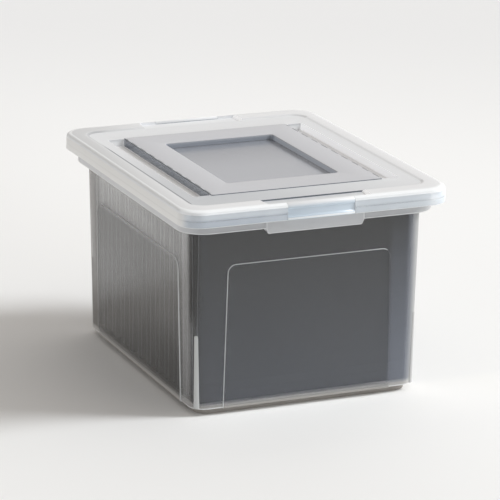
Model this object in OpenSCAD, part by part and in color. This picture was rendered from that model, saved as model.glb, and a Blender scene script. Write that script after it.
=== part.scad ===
// Portable file box: a drafted translucent tub with a gutter rim, a clip-on lid
// with a stacking deck and a window, and a row of hanging folders.
// +X runs along the short side that carries a latch, +Y runs along the long side,
// +Z is up. The origin is the middle of the face that the box stands on.

/* [Overall size] */
// Width over the lid skirt, across the latch
lid_w = 361; // [350:1:380]
// Depth over the lid skirt, from latch to latch
lid_d = 457; // [430:1:500]
// Height from the table to the top of the lid border
box_h = 276; // [262:1:300]

/* [Tub] */
// Thickness of the tub walls and floor
wall = 2.2; // [1.8:0.1:3]
// How much each wall leans in from the rail down to the foot ledge
wall_lean = 4; // [2:0.5:7]
// Outer radius of the tub's vertical corners
tub_corner_r = 20; // [14:1:26]
// Height of the inset stacking foot
foot_h = 8.5; // [5:0.5:12]
// How far the foot is set in from the wall above it
foot_inset = 8.5; // [5:0.5:12]
// Height of the ribbed part of each corner
corner_rib_h = 98; // [60:1:140]
// Radius of a corner rib at its lower end
corner_rib_r = 5; // [4.4:0.1:6]

/* [Raised wall panels] */
// Width of the end panels at their foot
end_panel_w = 229; // [180:1:240]
// Width of the side panels at their foot
side_panel_w = 298; // [240:1:305]
// How much narrower a panel gets towards its top
panel_taper = 8; // [0:1:16]
// Height of a panel above the foot ledge
panel_h = 187; // [140:1:200]
// Radius of the panel's upper corners
panel_r = 16; // [8:1:30]
// How far a panel stands out from the wall
panel_raise = 1.4; // [0.8:0.1:2]

/* [Rim] */
// How far the lid skirt reaches past the rim at the sides
side_overhang = 9; // [6:0.5:12]
// How far the lid skirt reaches past the rim at the latch ends
end_overhang = 18.8; // [17:0.2:21]
// Width of the gutter between the wall and the outside of the rim
gutter_w = 14.1; // [12.5:0.1:16]
// Depth of the gutter below the hanging rails
gutter_depth = 7; // [6.2:0.1:9]
// Thickness of the gutter floor
gutter_t = 2; // [1.6:0.1:2.6]
// Thickness of the upright rim
rim_t = 2; // [1.6:0.1:2.6]
// How far the lower band stands out from the upright rim
band_t = 1; // [0.6:0.1:1.4]
// Height of the lower band
band_h = 16.5; // [12:0.5:18]
// How far the band hangs below the top of the gutter floor
band_drop = 3; // [2.6:0.1:5]
// Drop from the top of the box to the hanging rails
rail_drop = 25; // [24:0.5:28]

/* [Grips] */
// Width of the grip lip at each end of the tub
grip_w = 133; // [110:1:160]
// How far the grip lip hangs below the band
grip_drop = 6.5; // [4:0.5:10]
// How far the grip pad stands out from the band
grip_pad_t = 1; // [0.6:0.1:1.2]
// Thickness of the webs that tie the lip to the wall
grip_web_t = 2; // [1.4:0.1:3]
// How much each end of the lip slopes in
grip_slope = 3.5; // [1:0.5:6]

/* [Lid] */
// Thickness of the lid
lid_t = 2.2; // [1.8:0.1:2.6]
// Height of the lid skirt
skirt_h = 21.25; // [20.5:0.25:22.5]
// How much the skirt leans in towards its top
skirt_lean = 0.8; // [0.2:0.1:1.4]
// Outer radius of the lid's vertical corners
lid_corner_r = 30; // [24:1:36]
// Rounding of the lid's upper edge
lid_edge_r = 5; // [3:0.5:5.5]
// Width of the raised border at the sides
border_side_w = 24; // [22:0.5:28]
// Width of the raised border at the latch ends
border_end_w = 31.5; // [30:0.5:34]
// Corner radius inside the raised border
border_r = 18; // [10:1:24]
// Depth of the stacking deck below the border
deck_drop = 1.8; // [1:0.1:2.2]
// Height of the centre platform above the deck
platform_rise = 0.8; // [0.4:0.1:1]
// Width of the centre platform
platform_w = 233; // [220:1:240]
// Depth of the centre platform, from latch to latch
platform_d = 310; // [280:1:330]
// Width of the clear window
window_w = 154; // [120:1:170]
// Depth of the clear window, from latch to latch
window_d = 216; // [160:1:240]
// Depth of the window below the platform
window_drop = 7.5; // [4:0.5:8]
// Corner radius of the window
window_r = 5; // [3:0.5:10]
// Width of the two troughs beside the platform
trough_w = 24.5; // [16:0.5:25.5]
// Depth of the troughs below the deck
trough_drop = 8.7; // [4:0.1:9]
// Height of the rib that centres the lid in the rim
locate_h = 7.8; // [5:0.2:9]

/* [Latches] */
// Width of a latch
latch_w = 90; // [70:1:110]
// Width of the slot in the lid behind a latch
slot_w = 147; // [135:1:152]
// Width of the lid edge that stays in front of the slot
slot_front_w = 6.5; // [6:0.1:7.5]
// Depth of the slot below the lid's border
slot_drop = 3.6; // [3:0.1:4.4]
// Thickness of the thin floor under the slot
slot_floor_t = 1.2; // [1:0.1:1.6]
// Thickness of the hook ledge
hook_t = 2.5; // [2:0.1:3.2]
// How deep the latch face is recessed above the pull lip
latch_recess = 1.4; // [0.8:0.1:1.8]
// How far the catch wedge stands out from the grip pad
catch_out = 1.2; // [0.8:0.1:1.3]
// Height over which the catch wedge grows
catch_h = 6; // [5:0.5:6]

/* [Folders] */
// Number of hanging folders
folder_count = 12; // [6:1:12]
// Distance between the two rods of a folder
rod_spread = 22; // [16:1:24]
// Thickness of the folder board
board_t = 1; // [0.8:0.1:1.2]
// Width of a folder's flat bottom
folder_base_w = 12; // [7:0.5:12]
// Room between a folder's bottom and the tub floor ledge
folder_floor_gap = 3; // [2:0.5:20]
// Room between a folder's side and the tub wall at the folder's bottom
folder_side_gap = 4.8; // [4.8:0.1:8]
// Room between the first folder's hem and the end wall
folder_end_gap = 4.4; // [4:0.1:8]
// Thickness of a hanger rod
rod_t = 1.6; // [1.2:0.1:2]
// Height of a hanger rod
rod_h = 5; // [4:0.1:5.5]
// Room between the rail's outer side and the leg of a hanger hook
hook_play = 0.8; // [0.5:0.1:1.2]
// Width of the slot in a hanger hook, wide enough for the bend of the rail near its corner
hook_slot_w = 9.6; // [9.4:0.1:10]
// How far a hanger hook reaches below the top of the rail
hook_drop = 4.8; // [3.5:0.1:5.4]
// Thickness of the outer leg of a hanger hook
hook_leg_t = 2.6; // [2:0.1:3]

/* [Fits] */
// Gap between the lid and the rim that it sits on
seat_gap = 0.2; // [0.1:0.05:0.4]
// Gap between a hanger hook and its rail
hang_gap = 0.3; // [0.1:0.05:0.4]
// Gap between a latch and the lid, and between its hook and the pad
latch_gap = 0.3; // [0.2:0.05:0.4]
// Gap between the lid's centring rib and the rim
locate_gap = 0.5; // [0.3:0.1:1]

/* [Hidden] */
corner_steps = 10;
edge_steps = 4;
skin = 0.01;
cut = 1;

// The lid, from its skirt inwards
lid_x = lid_w / 2;
lid_y = lid_d / 2;
skirt_z = box_h - skirt_h;
deck_z = box_h - deck_drop;
platform_z = deck_z + platform_rise;
window_z = platform_z - window_drop;
trough_z = deck_z - trough_drop;
deck_x = lid_x - border_side_w;
deck_y = lid_y - border_end_w;
slot_front_y = lid_y - slot_front_w;
slot_back_y = deck_y - cut;
slot_z = box_h - slot_drop;

// The rim of the tub, hung from the lid
rim_x = lid_x - side_overhang - band_t;
rim_y = lid_y - end_overhang - band_t;
rim_r = tub_corner_r + gutter_w - band_t;
rim_top_z = box_h - lid_t - seat_gap;
rail_z = box_h - rail_drop;
gutter_z = rail_z - gutter_depth;
band_z = gutter_z - band_drop;
notch_z = box_h - 7.5;
notch_half_w = slot_w / 2 + 2.3;

// The tub walls, hung from the rim
wall_x = rim_x + band_t - gutter_w;
wall_y = rim_y + band_t - gutter_w;
base_x = wall_x - wall_lean;
base_y = wall_y - wall_lean;
foot_x = base_x - foot_inset;
foot_y = base_y - foot_inset;
foot_r = tub_corner_r - foot_inset / 2;
lean_angle = atan(wall_lean / (rail_z - foot_h));
function lean_at(z) = wall_lean * (rail_z - z) / (rail_z - foot_h);

// The latch in the plane across the lid edge, outwards and upwards
pad_y = rim_y + band_t + grip_pad_t;
latch_inner_y = lid_y - skirt_lean - lid_t - latch_recess + 0.3;
hook_tip_y = pad_y + latch_gap;
hook_top_z = skirt_z + hook_t;

// The folders and their hangers
inner_x = wall_x - wall;
inner_y = wall_y - wall;
bar_bottom_z = rail_z - 1.8;
bar_top_z = bar_bottom_z + rod_h;
hem_t = 0.8;
hem_play = 0.4;
hem_half_w = rod_t / 2 + hem_play + hem_t;
folder_bottom_z = foot_h + wall + folder_floor_gap;
folder_x = inner_x - lean_at(folder_bottom_z) - folder_side_gap;
first_folder_y = inner_y - folder_end_gap - hem_half_w - rod_spread / 2;
folder_pitch = 2 * first_folder_y / (folder_count - 1);
function folder_y(i) = -first_folder_y + (i - 1) * folder_pitch;
function two_digits(i) = str(i < 10 ? "0" : "", i);
function folder_name(i) = str("folder_", two_digits(i));
function hanger_name(i) = str("hanger_", two_digits(i));

// Corner points of a rectangle with round corners
function round_rect(hx, hy, r) = [
    for (c = [[hx - r, hy - r, 0], [r - hx, hy - r, 90],
              [r - hx, r - hy, 180], [hx - r, r - hy, 270]])
        for (k = [0:corner_steps])
            let (a = c[2] + 90 * k / corner_steps)
                [c[0] + r * cos(a), c[1] + r * sin(a)]];

// Outline of a wall panel: straight at the foot, narrowing to two round corners
function arch(foot_w, top_w, h, r) = concat(
    [[-foot_w / 2, 0], [foot_w / 2, 0]],
    [for (k = [0:corner_steps])
        let (a = 90 * k / corner_steps)
            [top_w / 2 - r + r * cos(a), h - r + r * sin(a)]],
    [for (k = [0:corner_steps])
        let (a = 90 + 90 * k / corner_steps)
            [r - top_w / 2 + r * cos(a), h - r + r * sin(a)]]);

module slab(hx, hy, r, z0, z1) {
    translate([0, 0, z0])
        linear_extrude(z1 - z0)
            polygon(round_rect(hx, hy, r));
}

module ring(hx, hy, r, t, z0, z1) {
    difference() {
        slab(hx, hy, r, z0, z1);
        slab(hx - t, hy - t, r - t, z0 - cut, z1 + cut);
    }
}

module block(x0, x1, y0, y1, z0, z1) {
    translate([x0, y0, z0])
        cube([x1 - x0, y1 - y0, z1 - z0]);
}

// Repeats its children at the opposite end of the box
module both_ends() {
    children();
    rotate([0, 0, 180])
        children();
}

// ---- Tub ----

module tub_outside() {
    hull() {
        slab(base_x, base_y, tub_corner_r, foot_h, foot_h + skin);
        slab(wall_x, wall_y, tub_corner_r, rail_z - skin, rail_z);
    }
}

module tub_inside() {
    inner_r = tub_corner_r - wall;
    hull() {
        slab(base_x - wall, base_y - wall, inner_r, foot_h + wall, foot_h + wall + skin);
        slab(inner_x, inner_y, inner_r, rail_z, rail_z + cut);
    }
    slab(foot_x - wall, foot_y - wall, foot_r - wall, wall, foot_h + wall + cut);
}

// Panel on the wall that faces -Y, at base distance d from the middle
module wall_panel(foot_w, d) {
    bite = wall / 2;
    step = panel_raise / 2;
    translate([0, -d, foot_h])
        rotate([90 + lean_angle, 0, 0])
            translate([0, 0, -bite]) {
                linear_extrude(bite + step)
                    polygon(arch(foot_w, foot_w - panel_taper, panel_h, panel_r));
                linear_extrude(bite + panel_raise)
                    polygon(arch(foot_w - 2 * step, foot_w - panel_taper - 2 * step,
                                 panel_h - step, panel_r - step));
            }
}

// Tapering rib down a corner, leaning out with the wall
module corner_rib() {
    top_r = corner_rib_r * 0.64;
    sink = 3.6;
    top_sink = 2;
    drift = sink - top_sink + sqrt(2) * wall_lean * corner_rib_h / (rail_z - foot_h);
    translate([base_x - tub_corner_r, base_y - tub_corner_r, foot_h + 1.5])
        rotate([0, 0, 45])
            translate([tub_corner_r - sink, 0, 0])
                rotate([0, atan(drift / corner_rib_h), 0]) {
                    cylinder(h = corner_rib_h, r1 = corner_rib_r, r2 = top_r, $fn = 32);
                    translate([0, 0, corner_rib_h])
                        sphere(r = top_r, $fn = 32);
                }
}

// The upright rim, its lower band and the gutter floor, as one solid plate with walls
module rim() {
    slab(rim_x, rim_y, rim_r, gutter_z - gutter_t, gutter_z);
    ring(rim_x, rim_y, rim_r, rim_t, band_z, rim_top_z);
    ring(rim_x + band_t, rim_y + band_t, rim_r + band_t, rim_t, band_z, band_z + band_h);
}

// The pad under a latch, its grip lip, the two webs and the catch wedge
module grip() {
    inside_y = rim_y - rim_t;
    lip_z = band_z - grip_drop;
    hw = grip_w / 2;
    catch_z = hook_top_z + 0.6;
    translate([0, -inside_y, 0])
        rotate([90, 0, 0])
            linear_extrude(pad_y - inside_y)
                polygon([[-hw, notch_z], [-hw, band_z], [grip_slope - hw, lip_z],
                         [hw - grip_slope, lip_z], [hw, band_z], [hw, notch_z]]);
    for (s = [-1, 1])
        translate([s * (hw - grip_slope - grip_web_t / 2), 0, 0])
            block(-grip_web_t / 2, grip_web_t / 2, -inside_y - skin,
                  wall / 2 - wall_y + lean_at(lip_z), lip_z + 1.5, gutter_z - gutter_t / 2);
    translate([-latch_w / 2 + 1, -pad_y, 0])
        rotate([90, 0, 90])
            linear_extrude(latch_w - 2)
                polygon([[skin, catch_z], [-catch_out, catch_z + catch_h],
                         [-catch_out, catch_z + catch_h + 0.7],
                         [skin, catch_z + catch_h + 2.2]]);
}

module tub() {
    color([0.86, 0.88, 0.90, 0.45])
        difference() {
            union() {
                tub_outside();
                slab(foot_x, foot_y, foot_r, 0, foot_h + wall);
                rim();
                both_ends()
                    grip();
                both_ends()
                    wall_panel(end_panel_w, base_y);
                rotate([0, 0, 90])
                    both_ends()
                        wall_panel(side_panel_w, base_x);
                for (s = [-1, 1])
                    both_ends()
                        mirror([s < 0 ? 1 : 0, 0, 0])
                            corner_rib();
            }
            tub_inside();
            // The rim dips behind each latch, under the slot of the lid
            both_ends()
                block(-notch_half_w, notch_half_w, -rim_y - cut, cut - rim_y + rim_t,
                      notch_z, rim_top_z + cut);
        }
}

// ---- Lid ----

// Solid block of the lid's outer form, drawn in by an inset on every side
module lid_form(inset, z0) {
    r = lid_edge_r - min(inset, lid_edge_r - 1);
    top = box_h - inset;
    lean = skirt_lean + inset;
    hull() {
        slab(lid_x - inset, lid_y - inset, lid_corner_r - inset, z0, z0 + skin);
        for (k = [0:edge_steps])
            let (a = 90 * k / edge_steps,
                 d = lean + r - r * cos(a))
                slab(lid_x - d, lid_y - d, lid_corner_r - d,
                     top - r + r * sin(a) - skin, top - r + r * sin(a));
    }
}

module deck_area(grow, z0, z1) {
    slab(deck_x + grow, deck_y + grow, border_r + grow, z0, z1);
}

module platform_area(grow, z0, z1) {
    slab(platform_w / 2 + grow, platform_d / 2 + grow, 3, z0, z1);
}

module window_area(grow, z0, z1) {
    slab(window_w / 2 + grow, window_d / 2 + grow, window_r + grow, z0, z1);
}

// One trough beside the platform, with its end walls drawn in a little
module trough_area(grow, z0, z1) {
    for (s = [-1, 1])
        translate([s * (platform_w + trough_w) / 2, 0, 0])
            slab(trough_w / 2 + grow, platform_d / 2 - 2 + grow, 4 + grow, z0, z1);
}

// The sunken slot behind a latch, narrowing a little towards the edge
module slot_area(grow, z0, z1) {
    hw = slot_w / 2 + grow;
    translate([0, 0, z0])
        linear_extrude(z1 - z0)
            polygon([[-hw, grow - slot_back_y], [hw, grow - slot_back_y],
                     [hw - 3, -slot_front_y - grow], [3 - hw, -slot_front_y - grow]]);
}

module lid() {
    rib_x = rim_x - rim_t - locate_gap;
    rib_y = rim_y - rim_t - locate_gap;
    color([0.93, 0.95, 0.97, 0.6])
        difference() {
            union() {
                difference() {
                    union() {
                        difference() {
                            lid_form(0, skirt_z);
                            lid_form(lid_t, skirt_z - cut);
                        }
                        deck_area(lid_t, deck_z - lid_t, box_h - lid_t / 2);
                        trough_area(lid_t, trough_z - lid_t, deck_z);
                        both_ends()
                            slot_area(slot_floor_t, slot_z - slot_floor_t, deck_z);
                        ring(rib_x, rib_y, rim_r - rim_t - locate_gap, 1.8,
                             box_h - lid_t - locate_h, box_h - lid_t / 2);
                    }
                    deck_area(0, deck_z, box_h + cut);
                }
                platform_area(0, deck_z - lid_t, platform_z);
                window_area(lid_t, window_z - lid_t, platform_z);
            }
            trough_area(0, trough_z, box_h + cut);
            window_area(0, window_z, box_h + cut);
            both_ends() {
                slot_area(0, slot_z, box_h + cut);
                block(-latch_w / 2 - latch_gap, latch_w / 2 + latch_gap,
                      -lid_y - cut, skin - slot_front_y, skirt_z - cut, box_h + cut);
                block(-latch_w / 2 - latch_gap, latch_w / 2 + latch_gap,
                      -slot_front_y - cut, 2 * latch_gap - slot_front_y, skirt_z, slot_z + skin);
            }
        }
}

// ---- Latches ----

// Section through a latch: top edge, recessed face, pull lip and hook ledge
function latch_section() =
    let (face = lid_y - skirt_lean,
         arc_y = face - lid_edge_r,
         arc_z = box_h - lid_edge_r,
         low = face - latch_recess,
         lip_z = skirt_z + 3.4)
        concat(
            [[slot_front_y, box_h - lid_t], [slot_front_y, box_h]],
            [for (k = [0:edge_steps])
                let (a = 90 - 90 * k / edge_steps)
                    [arc_y + lid_edge_r * cos(a), arc_z + lid_edge_r * sin(a)]],
            [[face, arc_z - 1], [low, arc_z - 1 - latch_recess],
             [low, lip_z + latch_recess + 0.8], [lid_y, lip_z], [lid_y, skirt_z],
             [hook_tip_y + 0.6, skirt_z], [hook_tip_y, skirt_z + 0.8],
             [hook_tip_y, hook_top_z], [latch_inner_y, hook_top_z],
             [latch_inner_y, box_h - lid_t]]);

module latch() {
    color([0.90, 0.93, 0.96, 0.7])
        translate([-latch_w / 2, 0, 0])
            rotate([90, 0, 90])
                linear_extrude(latch_w)
                    mirror([1, 0])
                        polygon(latch_section());
}

module latch_front() {
    latch();
}

module latch_back() {
    rotate([0, 0, 180])
        latch();
}

// ---- Folders ----

// Section through a folder: two hems, two boards and a flat bottom
function folder_section() =
    let (s = rod_spread / 2,
         w = hem_half_w,
         h = board_t / 2,
         b = folder_base_w / 2,
         top = bar_top_z + hem_play + hem_t,
         low = bar_bottom_z - hem_play - hem_t,
         neck = low - 1.5,
         z = folder_bottom_z,
         c = 1.5)
        [[-s - w, top - 0.6], [-s - w, low], [-s - h, neck],
         [-b, z + c], [c - b, z], [b - c, z], [b, z + c],
         [s + h, neck], [s + w, low], [s + w, top - 0.6], [s + w - 0.6, top],
         [s - w + 0.6, top], [s - w, top - 0.6], [s - w, low], [s - h, neck],
         [b - board_t, z + c + 0.4], [b - c, z + board_t], [c - b, z + board_t],
         [board_t - b, z + c + 0.4],
         [h - s, neck], [w - s, low], [w - s, top - 0.6], [w - s - 0.6, top],
         [0.6 - s - w, top]];

module folder(i) {
    color([0.24, 0.25, 0.27])
        translate([-folder_x, folder_y(i), 0])
            rotate([90, 0, 90])
                linear_extrude(2 * folder_x)
                    difference() {
                        polygon(folder_section());
                        for (s = [-1, 1])
                            translate([s * rod_spread / 2 - rod_t / 2 - hem_play,
                                       bar_bottom_z - hem_play])
                                square([rod_t + 2 * hem_play, rod_h + 2 * hem_play]);
                    }
}

// Right half of a hanger rod: the bar and the hook that straddles the rail
function hanger_half() =
    let (slot_out = wall_x + hook_play,
         slot_in = slot_out - hook_slot_w,
         tip = slot_out + hook_leg_t,
         roof = rail_z + hang_gap)
        [[slot_in - 0.8, bar_bottom_z], [slot_in, bar_bottom_z + 0.8], [slot_in, roof],
         [slot_out, roof], [slot_out, rail_z - hook_drop + 0.8],
         [slot_out + 0.8, rail_z - hook_drop], [tip, rail_z - hook_drop + 0.8],
         [tip, roof + 2.4], [tip - 1.6, roof + 4], [slot_in, roof + 4],
         [slot_in - 2, bar_top_z]];

module hanger(i) {
    right = hanger_half();
    left = [for (k = [len(right) - 1:-1:0]) [-right[k][0], right[k][1]]];
    color([0.55, 0.56, 0.58])
        for (s = [-1, 1])
            translate([0, folder_y(i) + s * rod_spread / 2 + rod_t / 2, 0])
                rotate([90, 0, 0])
                    linear_extrude(rod_t)
                        polygon(concat(right, left));
}

tub();
lid();
latch_front();
latch_back();
for (i = [1:folder_count]) {
    folder(i);
    hanger(i);
}
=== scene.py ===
import math

import bmesh
import bpy
from bpy.props import FloatProperty, FloatVectorProperty, IntProperty, PointerProperty
from mathutils import Matrix, Vector


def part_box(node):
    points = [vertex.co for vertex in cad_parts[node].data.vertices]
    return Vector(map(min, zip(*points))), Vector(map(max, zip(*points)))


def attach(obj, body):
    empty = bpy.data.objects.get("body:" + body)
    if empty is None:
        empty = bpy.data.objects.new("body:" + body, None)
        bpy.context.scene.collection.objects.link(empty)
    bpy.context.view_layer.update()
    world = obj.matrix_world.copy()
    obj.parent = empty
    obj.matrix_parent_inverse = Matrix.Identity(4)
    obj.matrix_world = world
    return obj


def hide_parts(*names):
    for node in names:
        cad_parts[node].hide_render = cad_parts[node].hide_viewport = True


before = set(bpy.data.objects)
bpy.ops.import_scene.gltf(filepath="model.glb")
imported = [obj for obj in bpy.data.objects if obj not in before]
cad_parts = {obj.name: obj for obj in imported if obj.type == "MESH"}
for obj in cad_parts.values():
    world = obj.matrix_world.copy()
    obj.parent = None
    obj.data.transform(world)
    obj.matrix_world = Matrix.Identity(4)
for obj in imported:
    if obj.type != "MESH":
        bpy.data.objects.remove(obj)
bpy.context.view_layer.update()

bl_info = {
    "name": "Portable File Box",
    "version": (1, 0, 0),
    "blender": (4, 5, 0),
    "location": "View3D > Sidebar > File Box",
    "description": "Dresses the packed frame of a file box with its mouldings, folders and stage",
    "category": "Add Mesh",
}

MM = 0.001
SMOOTH_ANGLE = 35
EASE_STEPS = 3

# A plastic skin's shine seen head on and what it gains at grazing sight, and the least slant that
# counts for the skin's depth
SHINE, GRAZING_SHINE, LEAST_SLANT = 0.035, 1.3, 0.16

# Heights of the moulding, in millimetres above the table
FOOT = 8.5
RAIL = 251.0
GUTTER = 244.0
BAND_LOW = 241.0
BAND_TOP = 257.5
RIM_TOP = 273.6
NOTCH = 268.5
SKIRT = 254.75
TOP = 276.0
DECK = 274.2
PLATFORM = 275.0
WINDOW = 267.5
TROUGH = 265.5
SLOT = 272.4
SLOT_FLOOR = 1.2

# Half widths and half depths of the moulding, in millimetres
FOOT_HALF = (144.9, 183.1)
BASE_HALF = (153.4, 191.6)
RIM_HALF = (170.5, 208.7)
LID_HALF = (180.5, 228.5)
DECK_HALF = (156.5, 197.0)
PLATFORM_HALF = (116.5, 155.0)
WINDOW_HALF = (77.0, 108.0)
WALL_CORNER = 20.0
RIM_CORNER = 33.1
LEAN = 4.0 / (RAIL - FOOT)
PAD_FRONT = 210.7
LATCH_HALF = 45.0
LATCH_GAP = 0.3
SLOT_HALF = 73.5
SLOT_NEAR = 222.0
SLOT_FAR = 196.0
NOTCH_PLAY = 2.3
TROUGH_HALF = (12.25, 153.0)
TROUGH_X = 128.75
ROD_Y = 11.0

# Places of the finishes in the tub's, the lid's and a latch's list of materials
# The edge finishes give rounded edges a painted highlight, the shade and thin dark line finishes are
# painted shade, and the lit finishes a painted glow
PLAIN, EDGE, PALE, MILKY, SHADE = 0, 1, 2, 3, 4
FROST, LIP, TABLE, PANE, SIDE, SHADOW_LINE, SKIRTING, DECKING, LIT, SLOPE = 0, 1, 2, 3, 4, 5, 6, 7, 8, 9
LATCH_EDGE, LATCH_LIT = 1, 2


# ---------------------------------------------------------------- sizes and colours


class FileBoxSizes(bpy.types.PropertyGroup):
    """Sizes that shape the finer mouldings."""

    corner_steps: IntProperty(
        name="Corner steps", description="Faces round each upright corner", default=10, min=4, max=24
    )
    tub_wall: FloatProperty(
        name="Tub wall", description="Thickness of the tub's walls", default=0.0022, unit="LENGTH"
    )
    lid_wall: FloatProperty(
        name="Lid wall", description="Thickness of the lid", default=0.0022, unit="LENGTH"
    )
    panel_raise: FloatProperty(
        name="Panel step", description="How far a wall panel stands out", default=0.0014, unit="LENGTH"
    )
    panel_flank: FloatProperty(
        name="Panel flank", description="Width of the slope round a panel", default=0.0006, unit="LENGTH"
    )
    rib_stand: FloatProperty(
        name="Corner rib", description="How far a corner rib stands out", default=0.0022, unit="LENGTH"
    )
    board: FloatProperty(
        name="Folder board", description="Thickness of the folder board", default=0.001, unit="LENGTH"
    )


class FileBoxFinish(bpy.types.PropertyGroup):
    """Colours and haze of the finishes."""

    wall_colour: FloatVectorProperty(
        name="Tub", description="Colour of the tub's haze", subtype="COLOR", default=(0.72, 0.73, 0.75)
    )
    wall_haze: FloatProperty(
        name="Tub haze", description="How milky one skin of the tub's wall is", default=0.003
    )
    rim_haze: FloatProperty(
        name="Rim haze", description="How milky one skin of the tub's rim is", default=0.55
    )
    lid_colour: FloatVectorProperty(
        name="Lid", description="Colour of the frosted lid", subtype="COLOR", default=(0.80, 0.81, 0.83)
    )
    lid_haze: FloatProperty(
        name="Lid haze", description="How milky one skin of the lid is", default=0.9
    )
    board_colour: FloatVectorProperty(
        name="Folders",
        description="Colour of the folder board",
        subtype="COLOR",
        default=(0.014, 0.0145, 0.016),
    )
    steel_colour: FloatVectorProperty(
        name="Rods", description="Colour of the hanger rods", subtype="COLOR", default=(0.45, 0.45, 0.46)
    )
    floor_colour: FloatVectorProperty(
        name="Floor", description="Colour of the floor", subtype="COLOR", default=(0.86, 0.86, 0.86)
    )


def sizes():
    return bpy.context.scene.file_box_sizes


def finish():
    return bpy.context.scene.file_box_finish


# ---------------------------------------------------------------- shader writing


class Number:
    """A number or colour in a node tree. An expression on numbers adds its Math nodes."""

    def __init__(self, paint, socket):
        self.paint = paint
        self.socket = socket

    def math(self, operation, *others):
        return self.paint.node("ShaderNodeMath", {"operation": operation}, [self, *others])

    def __add__(self, other):
        return self.math("ADD", other)

    def __mul__(self, other):
        return self.math("MULTIPLY", other)

    def __sub__(self, other):
        return self.math("SUBTRACT", other)

    def __truediv__(self, other):
        return self.math("DIVIDE", other)

    def __pow__(self, other):
        return self.math("POWER", other)

    def __rsub__(self, other):
        return self.paint.node("ShaderNodeMath", {"operation": "SUBTRACT"}, [other, self])

    def __rtruediv__(self, other):
        return self.paint.node("ShaderNodeMath", {"operation": "DIVIDE"}, [other, self])

    def __neg__(self):
        return self.math("MULTIPLY", -1.0)

    __radd__ = __add__
    __rmul__ = __mul__

    def size(self):
        return self.math("ABSOLUTE")

    def at_least(self, other):
        return self.math("MAXIMUM", other)

    def at_most(self, other):
        return self.math("MINIMUM", other)

    def rising(self, start, end):
        """0 below start and 1 above end, with a smooth step between them."""
        return self.paint.node(
            "ShaderNodeMapRange",
            {"interpolation_type": "SMOOTHSTEP"},
            {"Value": self, "From Min": start, "From Max": end, "To Min": 0.0, "To Max": 1.0},
        )

    def falling(self, start, end):
        """1 below start and 0 above end."""
        return 1.0 - self.rising(start, end)

    def band(self, start, full, fading, end):
        """1 from full to fading, and 0 below start and above end."""
        return self.rising(start, full) * self.falling(fading, end)


class Paint:
    """One material, and the method that adds any node to it."""

    def __init__(self, name):
        self.material = bpy.data.materials.new(name)
        self.material.use_nodes = True
        self.tree = self.material.node_tree
        self.tree.nodes.clear()

    def node(self, kind, settings=None, values=(), output=0):
        made = self.tree.nodes.new(kind)
        for key, value in (settings or {}).items():
            setattr(made, key, value)
        pairs = values.items() if isinstance(values, dict) else enumerate(values)
        for key, value in pairs:
            if isinstance(value, Number):
                self.tree.links.new(value.socket, made.inputs[key])
            else:
                made.inputs[key].default_value = value
        return Number(self, made.outputs[output])

    def place(self):
        """The point on the piece, and its x, y and z in metres."""
        point = self.node("ShaderNodeTexCoord", output="Object")
        split = self.node("ShaderNodeSeparateXYZ", None, [point])
        outputs = split.socket.node.outputs
        return point, *[Number(self, outputs[axis]) for axis in range(3)]

    def noise(self, point, scale, detail=2.0, stretch=(1, 1, 1)):
        if stretch != (1, 1, 1):
            point = self.node("ShaderNodeMapping", None, {"Vector": point, "Scale": stretch})
        return self.node(
            "ShaderNodeTexNoise", None, {"Vector": point, "Scale": scale, "Detail": detail}
        )

    def mix(self, share, first, second):
        """Colour between first and second."""
        return self.node(
            "ShaderNodeMix", {"data_type": "RGBA"}, {0: share, 6: first, 7: second}, output=2
        )

    def over(self, shade, *layers):
        """The shade with more colours laid over it, each by its own share."""
        for share, colour in layers:
            shade = self.mix(share, shade, opaque(colour))
        return shade

    def bump(self, height, strength, distance):
        return self.node(
            "ShaderNodeBump", None, {"Strength": strength, "Distance": distance, "Height": height}
        )

    def plain(self, values):
        """The material with one surface of these values."""
        return self.done(self.node("ShaderNodeBsdfPrincipled", None, values))

    def done(self, surface):
        output = self.tree.nodes.new("ShaderNodeOutputMaterial")
        self.tree.links.new(surface.socket, output.inputs["Surface"])
        return self.material


def opaque(colour, factor=1.0):
    return (*[part * factor for part in colour], 1.0)


def moulded_plastic(name, colour, haze, roughness=0.35, grain=0.25, shape=None, glow=0.0):
    """Clear or milky plastic skin. haze is its optical depth seen head on, so that it whitens towards
    grazing sight, and grain is how matt it feels. shape works out the haze and the colour from the place
    on the piece, painted light and shade among them, and glow is a painted glow: an emission of the
    skin's own colour that stands for light reaching it through the plastic."""
    paint = Paint(name)
    point, x, y, z = paint.place()
    facing = paint.node("ShaderNodeLayerWeight", None, {"Blend": 0.5}, output="Facing")
    depth = haze
    shade = opaque(colour)
    if shape:
        depth, shade = shape(paint, x, y, z, haze, shade)
    clouds = paint.noise(point, 14.0, 3.0)
    depth = (clouds * 0.06 + 0.97) * depth
    solid = 1.0 - (-(depth / (1.0 - facing).at_least(LEAST_SLANT))).math("EXPONENT")
    values = {
        "Base Color": shade,
        "Roughness": clouds * 0.08 + (roughness - 0.04),
        "Alpha": solid,
    }
    if grain:
        values["Normal"] = paint.bump(paint.noise(point, 900.0, 2.0), grain, 0.00002)
    # A painted glow: the skin emits its own colour, though it is no lamp
    if glow:
        values["Emission Color"] = opaque(colour)
        values["Emission Strength"] = glow
    skin = paint.node("ShaderNodeBsdfPrincipled", None, values)
    shine = paint.node("ShaderNodeBsdfAnisotropic", None, {"Color": (1, 1, 1, 1), "Roughness": 0.16})
    share = (facing**5.0 * GRAZING_SHINE + SHINE) * (1.0 - solid)
    return paint.done(paint.node("ShaderNodeMixShader", None, [share, skin, shine]))


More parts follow.
